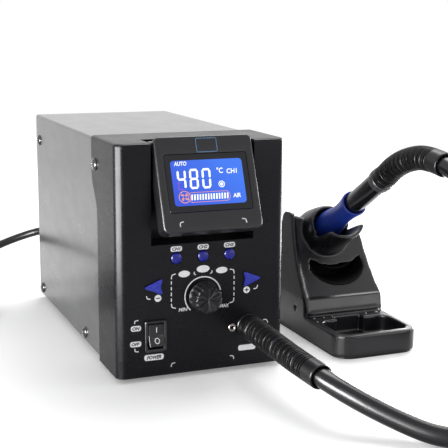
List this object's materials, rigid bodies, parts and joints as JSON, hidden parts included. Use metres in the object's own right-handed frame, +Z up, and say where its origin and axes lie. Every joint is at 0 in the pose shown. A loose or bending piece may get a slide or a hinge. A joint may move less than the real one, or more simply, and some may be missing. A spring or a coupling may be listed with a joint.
{
  "type": "hot air rework station",
  "caption": "Bench hot air rework station: black control box with a tilting lit display, knob, keys and rocker switch, and a hose-fed handle resting in its stand.",
  "frame": {"origin": "middle of the footprint of the control box, the stand and the handle, without the free hose and mains lead, on the table", "axes": "+X to the right along the front panel, +Y from the front panel towards the rear panel, +Z up"},
  "size_m": [0.4729, 0.4694, 0.1587],
  "materials": {
    "case_black": "fine satin powder coat, black",
    "panel_black": "black moulding, soft gloss",
    "bay_black": "black moulding, glossy",
    "window_dark": "smoked clear window, very glossy",
    "lcd_blue": "lit blue display",
    "board_green": "green circuit board",
    "steel": "bare steel",
    "button_blue": "blue moulding, satin",
    "knob_black": "black moulding, satin",
    "rubber_black": "black rubber, matt",
    "core_grey": "varnished laminations and castings",
    "copper": "enamelled copper wire",
    "aluminium": "extruded, plain",
    "screw_black": "blackened steel",
    "stand_black": "black moulding, satin",
    "collar_blue": "blue rubber, matt",
    "ceramic": "unglazed",
    "hose_black": "black flexible sheath"
  },
  "bodies": {
    "station": {"case_cover": "case_black", "base_plate": "case_black", "rear_panel": "case_black", "front_panel": "panel_black", "control_board": "board_green", "power_board": "board_green", "hinge_pin_left": "steel", "hinge_pin_right": "steel", "encoder_body": "steel", "ground_socket": "steel", "pump_bracket": "steel", "switch_frame": "knob_black", "fuse_holder": "knob_black", "fuse_cap": "knob_black", "hose_gland": "rubber_black", "hose_sleeve_station": "rubber_black", "cord_gland": "rubber_black", "foot_1": "rubber_black", "foot_2": "rubber_black", "foot_3": "rubber_black", "foot_4": "rubber_black", "stand_base": "rubber_black", "transformer_core": "core_grey", "air_pump": "core_grey", "transformer_coil": "copper", "heatsink": "aluminium", "side_screw_1": "screw_black", "side_screw_2": "screw_black", "side_screw_3": "screw_black", "side_screw_4": "screw_black", "side_screw_5": "screw_black", "side_screw_6": "screw_black", "side_screw_7": "screw_black", "side_screw_8": "screw_black", "stand_body": "stand_black", "stand_tray": "stand_black", "hose_station_run": "hose_black", "mains_cord": "hose_black", "mains_coil": "hose_black", "mains_plug": "hose_black"},
    "display": {"display_frame": "bay_black", "display_back": "bay_black", "display_window": "window_dark", "lcd_module": "lcd_blue", "display_board": "board_green"},
    "encoder_shaft": {"encoder_shaft": "steel"},
    "knob": {"knob": "knob_black"},
    "button_1": {"channel_button_1": "button_blue"},
    "button_2": {"channel_button_2": "button_blue"},
    "button_3": {"channel_button_3": "button_blue"},
    "arrow_left": {"arrow_button_left": "button_blue"},
    "arrow_right": {"arrow_button_right": "button_blue"},
    "rocker": {"switch_rocker": "knob_black"},
    "handle": {"handle_tube": "stand_black", "handle_collar": "collar_blue", "heater_tube": "steel", "nozzle": "steel", "heater_core": "ceramic", "hose_sleeve_handle": "rubber_black", "hose_handle_run": "hose_black"}
  },
  "joints": [
    {"name": "display_tilt", "type": "hinge", "parent": "station", "child": "display", "pos_m": [-0.0509, -0.0584, 0.1519], "axis": [-1, 0, 0], "range_deg": [-21.6, 20]},
    {"name": "knob_push", "type": "slide", "parent": "station", "child": "encoder_shaft", "axis": [0, 1, 0], "range_m": [0, 0.0006], "stiffness_N_per_m": 700, "springref_m": -0.0004},
    {"name": "knob_turn", "type": "hinge", "parent": "encoder_shaft", "child": "knob", "pos_m": [-0.0509, -0.0715, 0.054], "axis": [0, -1, 0], "continuous": true},
    {"name": "button_1_press", "type": "slide", "parent": "station", "child": "button_1", "axis": [0, 1, 0], "range_m": [0, 0.0008], "stiffness_N_per_m": 500, "springref_m": -0.0004},
    {"name": "button_2_press", "type": "slide", "parent": "station", "child": "button_2", "axis": [0, 1, 0], "range_m": [0, 0.0008], "stiffness_N_per_m": 500, "springref_m": -0.0004},
    {"name": "button_3_press", "type": "slide", "parent": "station", "child": "button_3", "axis": [0, 1, 0], "range_m": [0, 0.0008], "stiffness_N_per_m": 500, "springref_m": -0.0004},
    {"name": "arrow_left_press", "type": "slide", "parent": "station", "child": "arrow_left", "axis": [0, 1, 0], "range_m": [0, 0.0008], "stiffness_N_per_m": 500, "springref_m": -0.0004},
    {"name": "arrow_right_press", "type": "slide", "parent": "station", "child": "arrow_right", "axis": [0, 1, 0], "range_m": [0, 0.0008], "stiffness_N_per_m": 500, "springref_m": -0.0004},
    {"name": "mains_switch", "type": "hinge", "parent": "station", "child": "rocker", "pos_m": [-0.0836, -0.07, 0.0308], "axis": [1, 0, 0], "range_deg": [0, 22]},
    {"name": "handle_lift", "type": "slide", "parent": "station", "child": "handle", "axis": [0, -0.8526, 0.5225], "range_m": [0, 0.08]}
  ]
}
